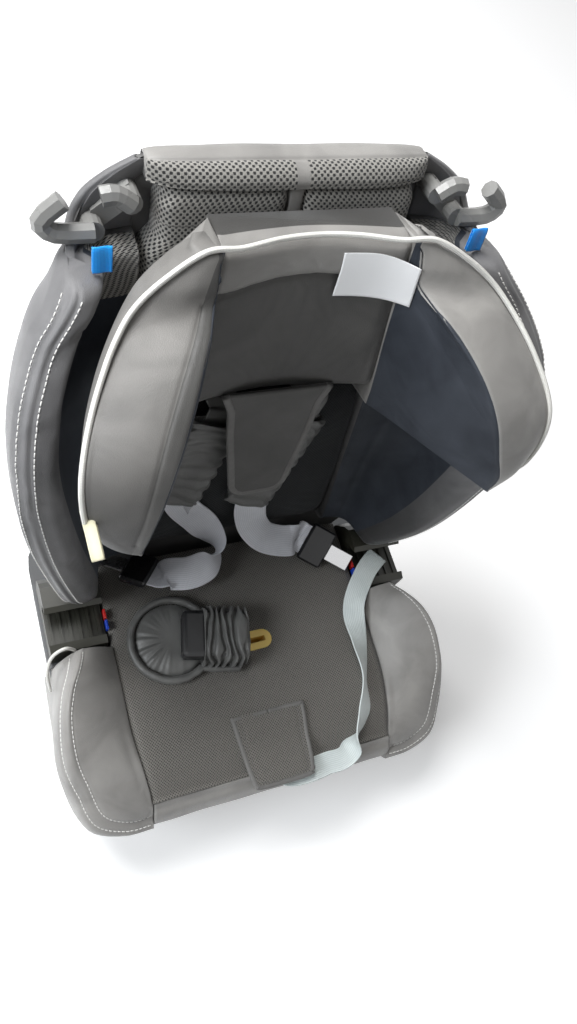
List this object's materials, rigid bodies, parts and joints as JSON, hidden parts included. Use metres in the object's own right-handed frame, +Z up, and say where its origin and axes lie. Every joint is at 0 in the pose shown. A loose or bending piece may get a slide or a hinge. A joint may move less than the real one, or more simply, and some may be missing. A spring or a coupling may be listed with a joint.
{
  "type": "child car seat",
  "caption": "Harnessed child car seat on a booster base, with a reclining winged backrest, height-adjustable padded headrest, belt guides, shoulder harness and crotch buckle.",
  "frame": {"origin": "middle of the base's underside, on its central boss", "axes": "+Z up, -Y towards the front of the seat, +X towards the side that shows at the right from the front"},
  "size_m": [0.465, 0.4479, 0.6383],
  "materials": {
    "leatherette": "fine grain, semi-matt",
    "spacer_mesh": "coarse diamond spacer mesh",
    "smooth_fabric": "smooth dark knit",
    "shell_plastic": "moulded, fine texture",
    "olive_plastic": "moulded",
    "black_plastic": "moulded, semi-gloss",
    "webbing": "woven polyester webbing",
    "pull_webbing": "woven polyester webbing",
    "steel": "plain bright steel",
    "piping": "off-white piping",
    "yellow_plastic": "moulded",
    "blue_fabric": "bright blue",
    "red_plastic": "moulded"
  },
  "bodies": {
    "base": {"base_shell": "shell_plastic", "hinge_rod": "steel", "seat_centre_pad": "spacer_mesh", "crotch_slot_plate": "yellow_plastic", "crotch_anchor_bar": "steel", "seat_front_roll": "leatherette", "seat_bolster_left": "leatherette", "seat_bolster_right": "leatherette", "hip_belt_guide_left": "olive_plastic", "hip_belt_guide_right": "olive_plastic", "belt_mark_red_left": "red_plastic", "belt_mark_red_right": "red_plastic", "belt_mark_blue_left": "blue_fabric", "belt_mark_blue_right": "blue_fabric", "adjuster_housing": "black_plastic", "harness_pull_strap": "pull_webbing", "cover_elastic_left": "piping"},
    "adjuster_lever": {"adjuster_lever": "steel"},
    "front_flap": {"front_flap": "spacer_mesh"},
    "backrest": {"backrest_shell": "shell_plastic", "back_lower_pad": "smooth_fabric", "top_band": "leatherette", "height_rack_left": "black_plastic", "height_rack_right": "black_plastic", "harness_yoke": "steel", "harness_rear_strap_left": "webbing", "harness_rear_strap_right": "webbing", "top_mesh_left": "spacer_mesh", "top_mesh_right": "spacer_mesh", "back_wing_pad_left": "smooth_fabric", "back_wing_pad_right": "smooth_fabric", "blue_tab_left": "blue_fabric", "blue_tab_right": "blue_fabric", "shoulder_belt_guide_left": "shell_plastic", "shoulder_belt_guide_right": "shell_plastic", "shoulder_pad_left": "leatherette", "shoulder_pad_right": "leatherette", "tongue_body_left": "black_plastic", "tongue_body_right": "black_plastic", "tongue_blade_left": "steel", "tongue_blade_right": "steel", "harness_strap_left": "webbing", "harness_strap_right": "webbing"},
    "headrest": {"headrest_shell": "shell_plastic", "headrest_centre_pad": "leatherette", "headrest_wing_pad_left": "leatherette", "headrest_wing_pad_right": "leatherette", "headrest_piping": "piping", "headrest_flap": "leatherette", "headrest_carriage": "black_plastic", "latch_spring": "steel"},
    "latch_bar": {"latch_bar": "steel"},
    "release_handle": {"release_handle": "black_plastic"},
    "crotch_buckle": {"crotch_pad": "leatherette", "crotch_pad_piping": "leatherette", "buckle_housing": "black_plastic", "buckle_sleeve": "leatherette", "crotch_strap": "webbing"},
    "buckle_button": {"buckle_button": "red_plastic"}
  },
  "joints": [
    {"name": "backrest_recline", "type": "hinge", "parent": "base", "child": "backrest", "pos_m": [0, 0.11, 0.1], "axis": [-1, 0, 0], "range_deg": [0, 12]},
    {"name": "headrest_height", "type": "slide", "parent": "backrest", "child": "headrest", "axis": [0, 0.2419, 0.9703], "range_m": [0, 0.1]},
    {"name": "release_pull", "type": "slide", "parent": "headrest", "child": "release_handle", "axis": [0, 0.2419, 0.9703], "range_m": [0, 0.01], "stiffness_N_per_m": 250, "springref_m": -0.006},
    {"name": "latch_retract", "type": "slide", "parent": "headrest", "child": "latch_bar", "axis": [0, 0.9703, -0.2419], "range_m": [0, 0.008], "deforming": ["latch_spring"]},
    {"name": "adjuster_press", "type": "hinge", "parent": "base", "child": "adjuster_lever", "pos_m": [0, -0.154, 0.1499], "axis": [1, 0, 0], "range_deg": [0, 8], "stiffness_Nm_per_rad": 0.05, "springref_deg": -17.19},
    {"name": "front_flap_lift", "type": "hinge", "parent": "base", "child": "front_flap", "pos_m": [0, -0.13, 0.1587], "axis": [-1, 0, 0], "range_deg": [0, 95]},
    {"name": "crotch_pad_lift", "type": "hinge", "parent": "base", "child": "crotch_buckle", "pos_m": [0, -0.052, 0.16189], "axis": [0.225, 0.9744, 0], "range_deg": [0, 83]},
    {"name": "buckle_press", "type": "slide", "parent": "crotch_buckle", "child": "buckle_button", "axis": [0, 0, -1], "range_m": [0, 0.003], "stiffness_N_per_m": 400, "springref_m": -0.003}
  ],
  "couplings": [
    {"joint": "latch_retract", "follows": "release_pull", "ratio": 0.8}
  ]
}
